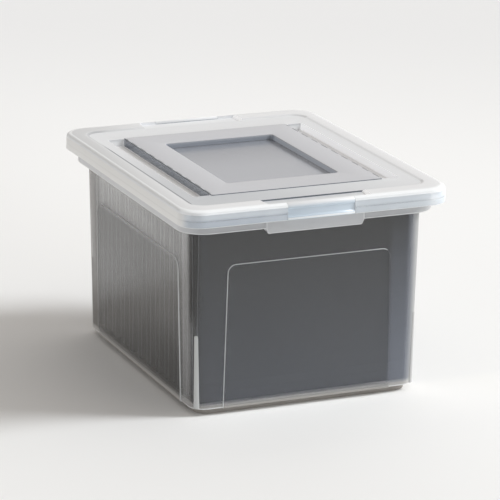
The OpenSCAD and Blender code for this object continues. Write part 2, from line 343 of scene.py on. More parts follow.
def tub_finishes():
    look = finish()

    def wall(paint, x, y, z, haze, shade):
        """Nearly clear walls, with painted light on the end walls that grows towards their foot and
        their right end. They cloud at the front right corner and in the strips beside a side panel.
        Painted shade darkens the back strip, a line along a side panel's edge, the side panels and the
        front left corner.
        The rim and gutter are milky but for the far left corner, and the foot, with the tub's floor,
        carries painted shade."""
        across, along = x.size(), y.size()
        rim = z.rising(0.2385, 0.2415)
        below = 1.0 - rim
        ledge = z.falling(0.012, 0.019)
        # Painted shade: the foot, and with it the tub's inner floor, is darkened
        foot = z.falling(0.0085, 0.0125)
        ends = along.rising(0.185, 0.1895)
        # Painted light: a veil on the end walls that grows towards the foot and towards the right, where
        # the key lamp falls
        painted_end_light = ends * (1.0 - z / 0.24) * (x.rising(0.108, 0.118) * 0.29 + 0.1015)
        sides = across.rising(0.150, 0.1535)
        strips = along.rising(0.149, 0.158) * sides
        # Painted shade on the strip at the back beside a side panel, and along the panel's far edge
        back_strip_shade = y.rising(-0.01, 0.01) * strips
        margin = y + z * 0.0214
        panel_edge_shade = margin.band(0.1455, 0.1462, 0.1490, 0.1497) * sides * z.falling(0.184, 0.190)
        corner = x.rising(0.132, 0.150) * (-y).rising(0.165, 0.180)
        far_corner = y.rising(0.165, 0.19) * (-x).rising(0.12, 0.15)
        # Painted shade on the front left corner and the side panels, deepest low down towards the front
        front_left_shade = (-x).rising(0.135, 0.150) * (-y).rising(0.170, 0.180) * z.rising(0.08, 0.14)
        panel_shade = across.rising(0.152, 0.154) * along.falling(0.146, 0.149) * z.falling(0.190, 0.194)
        near, low = (-y).rising(0.0, 0.14), z.falling(0.03, 0.12)
        shade_veil_depth = panel_shade * (near * (low * 0.2 - 0.08) + 0.13) + front_left_shade * 0.13
        panel_shade = (panel_shade + front_left_shade).at_most(1.0)
        # Clouding, with the painted light and shade added in
        clouds = painted_end_light + strips * 0.08 + back_strip_shade * 0.24 + panel_edge_shade * 0.3 + corner * 0.65
        milk = rim * (across.rising(0.15, 0.165) * 0.3 + look.rim_haze) * (1.0 - far_corner * 0.92)
        depth = below * (clouds + ledge * 0.3 + shade_veil_depth + haze) + milk + foot * 1.3
        # Laid over the wall's colour: the painted end-wall light, the front right corner's tone, painted
        # shade on the back strip, the panels and the panel edge, then the ledge and the foot's painted
        # shade
        return depth, paint.over(
            shade,
            (ends * below, (0.28, 0.31, 0.38)),
            (corner * below, (0.38, 0.385, 0.39)),
            (back_strip_shade * below, (0.14, 0.13, 0.12)),
            (panel_shade * below, (0.06, 0.06, 0.06)),
            (panel_edge_shade * below, (0.06, 0.06, 0.06)),
            (ledge, (0.62, 0.61, 0.60)),
            (foot, (0.36, 0.335, 0.31)),
        )

    def rib(paint, x, y, z, haze, shade):
        """Painted darker at the right, against the key lamp's light there."""
        return haze, paint.over(shade, (x.rising(0.0, 0.1), (0.50, 0.50, 0.50)))

    return [
        moulded_plastic("tub plastic", look.wall_colour, look.wall_haze, grain=0, shape=wall),
        # Painted highlight on the tub's rounded edges and panel flanks
        moulded_plastic("tub edge", (0.80, 0.81, 0.82), 1.3, roughness=0.3),
        moulded_plastic("corner rib plastic", (0.56, 0.57, 0.57), 2.5, roughness=0.4, shape=rib),
        moulded_plastic("rim plastic", look.wall_colour, 0.9, roughness=0.3),
        # Painted shade on the panel flanks that face away from the light
        moulded_plastic("panel shade plastic", (0.10, 0.10, 0.11), 0.7, roughness=0.3),
    ]


def lid_finishes():
    look = finish()

    def frost(paint, x, y, z, haze, shade):
        """Painted shade: darker at the left, most of all on the slope from the deck up to the border,
        where the key lamp falls.
        """
        left = (x - y * 0.2).falling(-0.2, -0.08)
        slope = (-x).rising(0.12, 0.14) * (y + 0.19).rising(0.0, 0.01) * z.falling(0.2752, 0.2759)
        return haze, paint.over(shade, (left, (0.63, 0.64, 0.655)), (slope, (0.50, 0.51, 0.53)))

    def decking(paint, x, y, z, haze, shade):
        """Painted shade at the front and the left, with a fine dark seam along the deck's left edge, and
        painted lighter in the troughs, against the shade that falls in them."""
        deck_shade = (y * 0.8 + x * 0.75 + 0.03).falling(-0.20, 0.05)
        seam = x.band(-0.1557, -0.1553, -0.1543, -0.1539) * y.band(-0.188, -0.184, 0.09, 0.15)
        seam = seam * z.rising(0.2735, 0.2738)
        return seam + haze, paint.over(
            shade,
            (deck_shade, (0.55, 0.57, 0.60)),
            (z.falling(0.2700, 0.2735), (0.96, 0.965, 0.98)),
            (seam, (0.16, 0.17, 0.20)),
        )

    def recess(paint, x, y, z, haze, shade):
        """Painted shade: dark on the troughs' inner walls. Milkier and lighter round the window, but
        darker along its back.
        """
        window = x.size().falling(0.09, 0.10)
        tone = paint.over(opaque((0.62, 0.66, 0.73)), (y.rising(0.095, 0.105), (0.34, 0.37, 0.43)))
        return window * 0.6 + haze, paint.mix(window, shade, tone)

    def table(paint, x, y, z, haze, shade):
        """The hems of the folders show through as a dashed line along the platform's long edges."""
        edge = x.size().band(0.1143, 0.1148, 0.1156, 0.1161)
        dashes = (y / 0.032 + 20.0).math("FRACT").rising(0.36, 0.44) * y.size().falling(0.146, 0.150)
        return haze, paint.over(shade, (edge * dashes, (0.16, 0.17, 0.19)))

    def pane(paint, x, y, z, haze, shade):
        """Darker and clearer towards the back; the lighter front is a painted reflection."""
        shade = paint.over(shade, (y.rising(-0.02, 0.11), (0.36, 0.385, 0.435)))
        return y.falling(-0.11, 0.12) * 0.22 + haze, shade

    def skirting(paint, x, y, z, haze, shade):
        """Bluish at the front, where the rim shows through as a line, with painted light that grows
        towards the right. Milkier at the sides, and painted lighter there.
        """
        side = x.size().rising(0.172, 0.1795)
        line = z.band(0.2615, 0.2625, 0.2630, 0.2640)
        front = paint.over(
            opaque((0.60, 0.67, 0.76)),
            (x.rising(-0.16, 0.16), (0.76, 0.82, 0.88)),
            (z.rising(0.2625, 0.2665), (0.86, 0.92, 0.99)),
        )
        return side * 0.5 + haze - line * 0.2, paint.mix(side, front, shade)

    return [
        moulded_plastic("lid plastic", look.lid_colour, look.lid_haze, roughness=0.38, shape=frost),
        # Painted highlight along the round-over and the skirt's lower edge
        moulded_plastic("lid edge", (0.92, 0.94, 0.96), 1.6, roughness=0.25),
        moulded_plastic("platform plastic", (0.57, 0.58, 0.615), 0.95, roughness=0.42, shape=table),
        moulded_plastic("window plastic", (0.46, 0.48, 0.53), 0.28, roughness=0.25, shape=pane),
        # Painted shade on the walls of the troughs and the window
        moulded_plastic("recess wall plastic", (0.16, 0.19, 0.24), 0.30, roughness=0.3, shape=recess),
        # Painted shadow line on the platform's edge and the slots' far walls
        moulded_plastic("shadow line plastic", (0.10, 0.12, 0.15), 1.8, roughness=0.4),
        moulded_plastic("skirt plastic", (0.91, 0.91, 0.90), 0.5, roughness=0.35, shape=skirting),
        moulded_plastic("deck plastic", (0.76, 0.775, 0.80), 0.9, roughness=0.4, shape=decking),
        # Painted glow on walls and slopes that sit in the key lamp's shade
        moulded_plastic("lit wall plastic", (0.90, 0.90, 0.91), 2.0, roughness=0.45, glow=0.38),
        moulded_plastic("lit slope plastic", (0.80, 0.81, 0.83), 1.6, roughness=0.45, glow=0.10),
    ]


def latch_finishes():
    look = finish()

    def tongue(paint, x, y, z, haze, shade):
        """As milky as the lid on top and bluish and clearer below."""
        top = z.rising(0.2695, 0.2745)
        return top * 0.8 + haze, paint.mix(top, shade, opaque(look.lid_colour))

    return [
        moulded_plastic("latch plastic", (0.74, 0.84, 0.94), 0.8, roughness=0.3, shape=tongue),
        # Painted highlight on the pull lip and the cut sides
        moulded_plastic("latch edge", (0.86, 0.88, 0.90), 1.8, roughness=0.25),
        # Painted glow on the inner face
        moulded_plastic("lit latch plastic", (0.84, 0.85, 0.86), 2.0, roughness=0.45, glow=0.14),
    ]


def board_finish():
    """Dark pressed board with fine fibres, a soft bloom and pale cut edges."""
    paint = Paint("folder board")
    point, x, y, z = paint.place()
    fibres = paint.noise(point, 420.0, 4.0, (1.0, 1.0, 0.35))
    bloom = paint.noise(point, 9.0, 2.0)
    colour = finish().board_colour
    tone = paint.mix(bloom * 0.9 + fibres * 0.1, opaque(colour, 0.85), opaque(colour, 1.15))
    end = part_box("folder_01")[1].x
    cut = x.size().rising(end - 0.0004, end - 0.0002)
    tone = paint.mix(cut, tone, opaque(colour, 18.0))
    return paint.plain(
        {"Base Color": tone, "Roughness": fibres * 0.1 + 0.6, "Specular IOR Level": 0.2}
    )


def steel_finish():
    """Strip steel, drawn along its length."""
    paint = Paint("rod steel")
    point = paint.place()[0]
    drawn = paint.noise(point, 500.0, 3.0, (0.03, 1.0, 1.0))
    colour = finish().steel_colour
    tone = paint.mix(drawn, opaque(colour, 0.8), opaque(colour, 1.15))
    return paint.plain({"Base Color": tone, "Metallic": 1.0, "Roughness": drawn * 0.25 + 0.25})


def floor_finish():
    """Pale paper with painted light: lighter at the right and close in front of the box, and painted
    greyer far away.
    """
    paint = Paint("floor paper")
    point, x, y, z = paint.place()
    mottle = paint.noise(point, 3.0, 2.0)
    colour = finish().floor_colour
    distance = (x * x + y * y) ** 0.5
    # Painted light: a pool at the right that fades with distance, a patch close in front of the box
    # where it reflects light, and painted shade that greys the far floor
    fading = distance.rising(0.28, 0.6) * 0.2 + distance.rising(0.5, 2.4) * 0.5
    painted_light_in_front = (-y).band(0.15, 0.18, 0.20, 0.34) * x.rising(-0.20, -0.10)
    tone = paint.over(
        paint.mix(mottle, opaque(colour, 0.99), opaque(colour, 1.01)),
        (x.rising(-0.25, 0.30) * (1.0 - fading), (0.945, 0.95, 0.955)),
        (distance.rising(0.9, 2.3) * 0.6, (0.77, 0.775, 0.79)),
        (painted_light_in_front * 0.7, (0.975, 0.975, 0.97)),
    )
    return paint.plain({"Base Color": tone, "Roughness": 0.85})


# ---------------------------------------------------------------- modelling by hand


def deselect_all():
    if bpy.context.object and bpy.context.object.mode != "OBJECT":
        bpy.ops.object.mode_set(mode="OBJECT")
    bpy.ops.object.select_all(action="DESELECT")


def choose(piece):
    """Selects this piece alone and makes it the active one."""
    deselect_all()
    piece.select_set(True)
    bpy.context.view_layer.objects.active = piece


def edit(piece):
    choose(piece)
    bpy.ops.object.mode_set(mode="EDIT")


def named(name):
    """The piece that was just added, under this name."""
    piece = bpy.context.object
    piece.name = piece.data.name = name
    return piece


def pick(piece, kind, test):
    """In edit mode, selects the vertices, edges or faces that pass the test, and nothing else."""
    bpy.ops.mesh.select_mode(type=kind)
    bpy.ops.mesh.select_all(action="DESELECT")
    mesh = bmesh.from_edit_mesh(piece.data)
    elements = {"VERT": mesh.verts, "EDGE": mesh.edges, "FACE": mesh.faces}[kind]
    for element in elements:
        if test(element):
            element.select_set(True)
    mesh.select_flush_mode()
    bmesh.update_edit_mesh(piece.data)


def middle(element):
    return sum((v.co for v in element.verts), Vector()) / len(element.verts)


def give_finish(piece, number):
    """Gives the selected faces of a piece in edit mode this finish."""
    mesh = bmesh.from_edit_mesh(piece.data)
    for face in mesh.faces:
        if face.select:
            face.material_index = number
    bmesh.update_edit_mesh(piece.data)


def finish_faces(piece, number, test):
    """In edit mode, gives the faces that pass the test this finish and leaves them selected."""
    pick(piece, "FACE", test)
    give_finish(piece, number)


def close_up(piece):
    """Leaves edit mode with the doubles merged and every face pointing outwards."""
    bpy.ops.mesh.select_all(action="SELECT")
    bpy.ops.mesh.remove_doubles(threshold=1e-6)
    bpy.ops.mesh.normals_make_consistent(inside=False)
    bpy.ops.object.mode_set(mode="OBJECT")
    return piece


def eased(corners):
    """Turns a section's corners into rings. A corner is (half x, half y, radius, height, ease), which
    may go on with the finish of the face up to it and that of its curve. Where ease isn't 0, the corner
    becomes a short curve that starts and ends that far from it."""
    rings = []
    last = len(corners) - 1
    for index, corner in enumerate(corners):
        here, ease = Vector(corner[:4]), corner[4]
        look = corner[5] if len(corner) > 5 else PLAIN
        if ease == 0 or index in (0, last):
            rings.append((here, look))
            continue
        before = Vector(corners[index - 1][:4]) - here
        after = Vector(corners[index + 1][:4]) - here
        start = here + before * (ease / math.hypot(before[0], before[3]))
        end = here + after * (ease / math.hypot(after[0], after[3]))
        curve_look = corner[6] if len(corner) > 6 else look
        for step in range(EASE_STEPS + 1):
            t = step / EASE_STEPS
            ring = start * (1 - t) ** 2 + here * (2 * t * (1 - t)) + end * t**2
            rings.append((ring, look if step == 0 else curve_look))
    return rings


def ring_shell(name, corners):
    """A closed skin: round-cornered rectangles, one for each ring, bridged in order and capped at both
    ends. They are bridged as a tall stack, because rings that share a plane fold over, and are then set
    at their own heights."""
    rings = eased(corners)
    stack = 20 * MM
    deselect_all()
    bpy.ops.mesh.primitive_plane_add(size=2 * MM)
    piece = named(name)
    bpy.ops.object.mode_set(mode="EDIT")
    bpy.ops.mesh.select_all(action="SELECT")
    bpy.ops.mesh.delete(type="VERT")
    for index, (ring, _) in enumerate(rings):
        half_x, half_y, radius, _ = ring
        bpy.ops.mesh.select_mode(type="VERT")
        bpy.ops.mesh.primitive_plane_add(size=2 * MM, location=(0, 0, index * stack))
        bpy.ops.transform.resize(value=(half_x, half_y, 1), center_override=(0, 0, index * stack))
        bpy.ops.mesh.bevel(offset=radius * MM, segments=sizes().corner_steps, affect="VERTICES")
        mesh = bmesh.from_edit_mesh(piece.data)
        order = mesh.verts.layers.int.get("ring") or mesh.verts.layers.int.new("ring")
        for vertex in mesh.verts:
            if vertex.select:
                vertex[order] = index + 1
        bmesh.update_edit_mesh(piece.data)
        bpy.ops.mesh.delete(type="ONLY_FACE")

    def on_rings(*wanted):
        mesh = bmesh.from_edit_mesh(piece.data)
        order = mesh.verts.layers.int["ring"]
        return lambda edge: (
            edge.verts[0][order] == edge.verts[1][order] and edge.verts[0][order] in wanted
        )

    for index in range(1, len(rings)):
        pick(piece, "EDGE", on_rings(index, index + 1))
        bpy.ops.mesh.bridge_edge_loops()
        give_finish(piece, rings[index][1])
    for end, number in ((1, rings[0][1]), (len(rings), rings[-1][1])):
        pick(piece, "EDGE", on_rings(end))
        bpy.ops.mesh.edge_face_add()
        give_finish(piece, number)
    mesh = bmesh.from_edit_mesh(piece.data)
    order = mesh.verts.layers.int["ring"]
    for vertex in mesh.verts:
        vertex.co.z = rings[vertex[order] - 1][0][3] * MM
    bmesh.update_edit_mesh(piece.data)
    return close_up(piece)


def block(name, low, high):
    """A box between two corners, in millimetres, as a start for shaping or cutting."""
    low, high = Vector(low) * MM, Vector(high) * MM
    deselect_all()
    bpy.ops.mesh.primitive_cube_add(size=1, location=(low + high) / 2, scale=high - low)
    bpy.ops.object.transform_apply(location=True, rotation=False, scale=True)
    return named(name)


def bar(name, outline, low, high):
    """A bar along X whose section is this outline of (y, z) points, in millimetres."""
    deselect_all()
    bpy.ops.mesh.primitive_circle_add(vertices=len(outline), radius=MM, fill_type="NGON")
    piece = named(name)
    bpy.ops.object.mode_set(mode="EDIT")
    mesh = bmesh.from_edit_mesh(piece.data)
    mesh.verts.ensure_lookup_table()
    for vertex, (y, z) in zip(list(mesh.faces)[0].verts, outline):
        vertex.co = Vector((low, y, z)) * MM
    bmesh.update_edit_mesh(piece.data)
    bpy.ops.mesh.select_all(action="SELECT")
    bpy.ops.mesh.extrude_region_move(TRANSFORM_OT_translate={"value": ((high - low) * MM, 0, 0)})
    pick(piece, "EDGE", lambda edge: edge.is_boundary)
    bpy.ops.mesh.edge_face_add()
    return close_up(piece)


def copy_of(piece, name):
    twin = piece.copy()
    twin.data = piece.data.copy()
    twin.name = twin.data.name = name
    bpy.context.scene.collection.objects.link(twin)
    return twin


def moved(piece, matrix):
    """Puts a piece in its place by its mesh, so that its object stays at the origin."""
    piece.data.transform(matrix)
    if matrix.is_negative:
        piece.data.flip_normals()
    return piece


def painted(piece, materials):
    """Gives a piece its list of materials, unless it has one."""
    if not piece.data.materials:
        for material in materials:
            piece.data.materials.append(material)
    return piece


def joined(pieces, name, materials=()):
    """The pieces as one. They are given the materials first, because a piece that joins without any
    loses its faces' finishes."""
    for piece in pieces:
        painted(piece, materials)
    deselect_all()
    for piece in pieces:
        piece.select_set(True)
    bpy.context.view_layer.objects.active = pieces[0]
    bpy.ops.object.join()
    return named(name)


def combine(piece, other, operation):
    """Adds the other solid to a piece or cuts it out. Both get the same materials first, because only
    then does each face keep its finish."""
    painted(other, piece.data.materials)
    choose(piece)
    bpy.ops.object.modifier_add(type="BOOLEAN")
    modifier = piece.modifiers[-1]
    modifier.operation = operation
    modifier.solver = "EXACT"
    modifier.object = other
    bpy.ops.object.modifier_apply(modifier=modifier.name)
    bpy.data.objects.remove(other)
    return piece


def soften(piece, width, angle):
    """Rounds the edges of a piece that turn by more than this angle, in degrees."""
    choose(piece)
    bpy.ops.object.modifier_add(type="BEVEL")
    modifier = piece.modifiers[-1]
    modifier.width = width
    modifier.segments = 2
    modifier.limit_method = "ANGLE"
    modifier.angle_limit = math.radians(angle)
    bpy.ops.object.modifier_apply(modifier=modifier.name)
    return piece


def dress(piece, slot, body, *nodes):
    """Smooths a finished piece, hangs it on its body and hides the CAD nodes that it stands for. Its
    slot is not used.
    """
    choose(piece)
    bpy.ops.object.shade_smooth_by_angle(angle=math.radians(SMOOTH_ANGLE))
    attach(piece, body)
    if nodes:
        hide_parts(*nodes)
    return piece


HALF_TURN = Matrix.Rotation(math.pi, 4, "Z")


def both_ends(piece, name, materials):
    """The piece and its twin at the opposite end of the box, as one."""
    twin = moved(copy_of(painted(piece, materials), name), HALF_TURN)
    return joined([piece, twin], name)


# ---------------------------------------------------------------- tub


def leaning(half, height):
    """Half size of the wall at a height, in millimetres."""
    return half + LEAN * (height - FOOT)


def tub_section(wall):
    """Corners of the tub's section: up the outside, over the rim, through the gutter, over the rail and
    down inside."""
    foot_r = 15.75
    rim_r = RIM_CORNER

    def at(offset, height, radius, ease, *look):
        """A corner that lies this far outside the rim's outer face."""
        return (RIM_HALF[0] + offset, RIM_HALF[1] + offset, radius, height, ease, *look)

    def wall_at(height, inset, ease, *look):
        x, y = (leaning(base, height) - inset for base in BASE_HALF)
        return (x, y, WALL_CORNER - inset, height, ease, *look)

    foot = (*FOOT_HALF, foot_r)
    inner = (FOOT_HALF[0] - wall, FOOT_HALF[1] - wall, foot_r - wall)
    ledge = FOOT + wall
    return [
        # The eased curves at the foot, the rim band, the rim's top and the rail carry a painted
        # highlight
        (FOOT_HALF[0] - 3, FOOT_HALF[1] - 3, foot_r - 3, 0, 0),
        (*foot, 0, 1.6),
        (*foot, FOOT, 1.2),
        wall_at(FOOT, 0, 2.0, PLAIN, EDGE),
        wall_at(GUTTER - 2, 0, 0.8),
        at(-2, GUTTER - 2, rim_r - 2, 0.4),
        at(-2, BAND_LOW, rim_r - 2, 0.5, PLAIN, EDGE),
        at(1, BAND_LOW, rim_r + 1, 1.3, PLAIN, EDGE),
        at(1, BAND_TOP, rim_r + 1, 0.35),
        at(0, BAND_TOP, rim_r, 0.35),
        at(0, RIM_TOP, rim_r, 0.8, PLAIN, EDGE),
        at(-2, RIM_TOP, rim_r - 2, 0.8, PLAIN, EDGE),
        at(-2, GUTTER, rim_r - 2, 1.0),
        wall_at(GUTTER, 0, 1.0),
        wall_at(RAIL, 0, 0.9, PLAIN, EDGE),
        wall_at(RAIL, wall, 0.9, PLAIN, EDGE),
        wall_at(ledge, wall, 1.6),
        (*inner, ledge, 1.2),
        (*inner, wall, 2.0),
        (inner[0] - 4, inner[1] - 4, inner[2] - 4, wall, 0),
    ]


def wall_panel(name, foot_width, distance, radius, bright):
    """A raised panel: straight at its foot, narrowing to two round corners, on the wall that faces -Y.
    Its flank carries a painted highlight, and painted shade on the side that bright, -1 or 1, points
    away from."""
    height, taper, bite = 187.0, 8.0, 1.1
    step, flank = sizes().panel_raise, sizes().panel_flank
    deselect_all()
    bpy.ops.mesh.primitive_plane_add(size=2 * MM)
    piece = named(name)
    bpy.ops.object.mode_set(mode="EDIT")
    bpy.ops.mesh.select_all(action="SELECT")
    bpy.ops.transform.resize(value=(foot_width / 2, height / 2, 1), center_override=(0, 0, 0))
    bpy.ops.transform.translate(value=(0, height / 2 * MM, 0))
    pick(piece, "VERT", lambda v: v.co.y > height / 2 * MM)
    narrow = (foot_width - taper) / foot_width
    bpy.ops.transform.resize(value=(narrow, 1, 1), center_override=(0, 0, 0))
    bpy.ops.mesh.bevel(offset=radius * MM, segments=12, affect="VERTICES")
    bpy.ops.mesh.select_all(action="SELECT")
    bpy.ops.mesh.extrude_region_move(
        TRANSFORM_OT_translate={"value": (0, 0, bite * MM + 0.35 * step)}
    )
    pick(piece, "FACE", lambda f: f.normal.z > 0.9 and middle(f).z > bite * MM)
    bpy.ops.mesh.inset(thickness=flank, depth=0.65 * step)

    def on_flank(face):
        return abs(face.normal.z) < 0.95 and middle(face).z > 0.5 * bite * MM

    # The flank's painted highlight, then painted shade on its side away from the light
    finish_faces(piece, EDGE, on_flank)
    finish_faces(piece, SHADE, lambda f: on_flank(f) and f.normal.x * bright < -0.5)
    pick(piece, "EDGE", lambda edge: edge.is_boundary)
    bpy.ops.mesh.edge_face_add()
    close_up(piece)
    stand = Matrix.Rotation(math.radians(90) + math.atan(LEAN), 4, "X")
    place = Matrix.Translation((0, -distance * MM, FOOT * MM))
    return moved(piece, place @ stand @ Matrix.Translation((0, 0, -bite * MM)))


def corner_rib(name, side_x, side_y):
    """A tapering rib with a domed top, down the upright corner on these sides, -1 or 1."""
    height, low, wide, slim, sunk = 96.0, 1.5, 3.9, 2.6, 0.3
    stand = sizes().rib_stand / MM
    deselect_all()
    bpy.ops.mesh.primitive_cone_add(
        vertices=28, radius1=wide * MM, radius2=slim * MM, depth=height * MM,
        location=(0, 0, height / 2 * MM),
    )
    bpy.ops.object.transform_apply(location=True)
    piece = named(name)
    bpy.ops.object.mode_set(mode="EDIT")
    pick(piece, "EDGE", lambda e: all(v.co.z > (height - 1) * MM for v in e.verts))
    bpy.ops.mesh.bevel(offset=slim * 0.9 * MM, segments=5, affect="EDGES")
    bpy.ops.mesh.select_all(action="SELECT")
    bpy.ops.transform.resize(value=((stand + sunk) / wide, 1, 1), center_override=(0, 0, 0))
    give_finish(piece, PALE)
    close_up(piece)
    centre = (
        side_x * (BASE_HALF[0] - WALL_CORNER) * MM,
        side_y * (BASE_HALF[1] - WALL_CORNER) * MM,
        (FOOT + low) * MM,
    )
    place = (
        Matrix.Translation(centre)
        @ Matrix.Rotation(math.atan2(side_y, side_x), 4, "Z")
        @ Matrix.Translation(((WALL_CORNER - sunk) * MM, 0, 0))
        @ Matrix.Rotation(math.atan(math.sqrt(2) * LEAN), 4, "Y")
    )
    return moved(piece, place)


def grip_pad(name):
    """The pad under a latch, with a lip that hangs lower and slopes in at its ends."""
    half, drop, slope = 66.5, 6.5, 3.5
    inside = RIM_HALF[1] - 2
    piece = block(name, (-half, -PAD_FRONT, BAND_LOW), (half, -inside, NOTCH))
    edit(piece)
    finish_faces(piece, MILKY, lambda f: True)
    pick(piece, "FACE", lambda f: f.normal.z < -0.9)
    bpy.ops.mesh.extrude_region_move(TRANSFORM_OT_translate={"value": (0, 0, -drop * MM)})
    bpy.ops.transform.resize(value=((half - slope) / half, 1, 1), center_override=(0, 0, 0))
    pick(
        piece,
        "EDGE",
        lambda e: all(v.co.y < -(PAD_FRONT - 0.1) * MM for v in e.verts)
        and not all(v.co.z > (NOTCH - 0.1) * MM for v in e.verts)
        and (abs(middle(e).x) > (half - slope - 1) * MM or middle(e).z < (BAND_LOW - 1) * MM),
    )
    bpy.ops.mesh.bevel(offset=1.3 * MM, segments=3, affect="EDGES")
    # The rounded lip edges get the edge finish's painted highlight
    give_finish(piece, EDGE)
    return close_up(piece)


def grip_webs(name, materials):
    """The two webs that tie a lip back to the wall, and the catch wedge on the pad."""
    low, high = 236.0, 243.0
    inner = leaning(BASE_HALF[1], low) - 1.1
    webs = [
        block(name, (side * 62 - 1, -(RIM_HALF[1] - 1.5), low), (side * 62 + 1, -inner, high))
        for side in (-1, 1)
    ]
    for web in webs:
        edit(web)
        finish_faces(web, MILKY, lambda f: True)
        close_up(web)
    foot, top = 257.85, 266.05
    wedge = block(name, (-44, -PAD_FRONT - 1.2, foot), (44, -PAD_FRONT + 0.5, top))
    edit(wedge)
    outer = -(PAD_FRONT + 1.1) * MM
    pick(wedge, "VERT", lambda v: v.co.y < outer and v.co.z < (foot + 1) * MM)
    bpy.ops.transform.translate(value=(0, 0, 6 * MM))
    pick(wedge, "VERT", lambda v: v.co.y < outer and v.co.z > (top - 1) * MM)
    bpy.ops.transform.translate(value=(0, 0, -1.5 * MM))
    close_up(wedge)
    return joined([*webs, wedge], name, materials)


def build_tub():
    wall = sizes().tub_wall / MM
    finishes = tub_finishes()
    tub = painted(ring_shell("tub_moulding", tub_section(wall)), finishes)
    features = []
    for turn in (0, 180):
        end = wall_panel("end_panel", 229.0, BASE_HALF[1], 11.0, -1)
        side = wall_panel("side_panel", 298.0, BASE_HALF[0], 16.0, 1)
        features.append(moved(end, Matrix.Rotation(math.radians(turn), 4, "Z")))
        features.append(moved(side, Matrix.Rotation(math.radians(turn + 90), 4, "Z")))
    for side_x in (-1, 1):
        for side_y in (-1, 1):
            features.append(corner_rib("corner_rib", side_x, side_y))
    combine(tub, joined(features, "wall_features", finishes), "UNION")
    combine(tub, both_ends(grip_pad("grip_pad"), "grip_pads", finishes), "UNION")
    combine(tub, both_ends(grip_webs("grip_webs", finishes), "grip_webs", finishes), "UNION")
    half = SLOT_HALF + NOTCH_PLAY
    notch = block("notch", (-half, -RIM_HALF[1] - 1.05, NOTCH), (half, 3 - RIM_HALF[1], TOP))
    combine(tub, both_ends(notch, "notches", finishes), "DIFFERENCE")
    dress(tub, "tub_plastic", "tub", "tub")


# ---------------------------------------------------------------- lid


def lid_section(wall):
    """Corners of the lid's section, from the window over the border, down the skirt and back
    underneath."""
    lean, round_over = 0.8, 5.0
    lid_r, deck_r, window_r = 30.0, 18.0, 5.0

    def lid_at(inset, height, ease, *look):
        return (LID_HALF[0] - inset, LID_HALF[1] - inset, lid_r - inset, height, ease, *look)

    def around(half, grow, radius, height, ease, *look):
        return (half[0] + grow, half[1] + grow, radius + grow, height, ease, *look)

    rib = 2.5
    inner_rim = (RIM_HALF[0] - rib, RIM_HALF[1] - rib)
    rib_low = TOP - wall - 7.8
    under_deck = DECK - wall
    ceiling = TOP - wall
    rib_r = RIM_CORNER - rib
    return [
        # The window and trough walls carry painted shade, the platform's edge a painted shadow line, and
        # the round-over and the skirt's lower edge a painted highlight
        around(WINDOW_HALF, -6, window_r + 3, WINDOW, 0, PANE),
        around(WINDOW_HALF, -1.0, window_r, WINDOW, 0.9, PANE),
        around(WINDOW_HALF, 0, window_r, PLATFORM, 0.8, SIDE, TABLE),
        around(PLATFORM_HALF, 0, 3.0, PLATFORM, 0.35, TABLE, SHADOW_LINE),
        around(PLATFORM_HALF, 0.1, 3.0, DECK, 0.3, SHADOW_LINE),
        around(DECK_HALF, 0, deck_r, DECK, 0.9, DECKING, FROST),
        around(DECK_HALF, 3.6, deck_r, TOP, 0.9, FROST),
        lid_at(lean, TOP, round_over, FROST, LIP),
        lid_at(0, SKIRT, 0.6, SKIRTING, LIP),
        lid_at(wall, SKIRT, 0.6, SKIRTING, LIP),
        lid_at(lean + wall, ceiling, 2.8, SKIRTING, FROST),
        (*inner_rim, rib_r, ceiling, 0.6),
        (*inner_rim, rib_r, rib_low, 0.5),
        (inner_rim[0] - 1.8, inner_rim[1] - 1.8, rib_r - 1.8, rib_low, 0.5),
        (inner_rim[0] - 1.8, inner_rim[1] - 1.8, rib_r - 1.8, ceiling, 0.6),
        around(DECK_HALF, wall, deck_r, ceiling, 0.5),
        around(DECK_HALF, wall, deck_r, under_deck, 0.5),
        around(WINDOW_HALF, wall, window_r, under_deck, 0.6, DECKING),
        around(WINDOW_HALF, wall, window_r, WINDOW - wall, 0.9, SIDE),
        around(WINDOW_HALF, -6, window_r + 3, WINDOW - wall, 0, PANE),
    ]


def trough(name, grow, low, high, materials):
    """Both troughs beside the platform: their shell or their hollow, by how far it grows."""
    half_x, half_y, radius = TROUGH_HALF[0] + grow, TROUGH_HALF[1] + grow, 4.0 + grow
    pair = []
    for side in (-1, 1):
        piece = ring_shell(
            name,
            [
                (half_x - 5, half_y - 5, radius - 3, low, 0, DECKING),
                (half_x - 2, half_y - 2, radius - 1, low, 1.2, DECKING),
                (half_x, half_y, radius, high, 0, DECKING),
            ],
        )
        moved(piece, Matrix.Translation((side * TROUGH_X * MM, 0, 0)))
        edit(piece)
        # The inner wall, beside the platform, gets painted shade
        finish_faces(piece, SIDE, lambda f: f.normal.x * side < -0.9)
        pair.append(close_up(piece))
    return joined(pair, name, materials)


def slot_block(name, grow, low, high):
    """The sunken slot behind a latch, its shell or its hollow, narrower towards the lid's edge and its
    floor."""
    half, near, far = SLOT_HALF + grow, SLOT_NEAR + grow, SLOT_FAR - grow
    piece = block(name, (-half, -near, low), (half, -far, high))
    edit(piece)
    pick(piece, "VERT", lambda v: v.co.y < -(near - 1) * MM)
    bpy.ops.transform.resize(value=((half - 3) / half, 1, 1), center_override=(0, 0, 0))
    finish_faces(piece, DECKING, lambda f: f.normal.z < -0.9)
    bpy.ops.transform.resize(value=((half - 4) / half, 1, 1), center_override=(0, 0, 0))
    # The far wall gets a painted shadow line
    finish_faces(piece, SHADOW_LINE, lambda f: f.normal.y > 0.9)
    pick(piece, "EDGE", lambda edge: abs(edge.verts[0].co.z - edge.verts[1].co.z) > 2 * MM)
    bpy.ops.mesh.bevel(offset=1.5 * MM, segments=3, affect="EDGES")
    return close_up(piece)


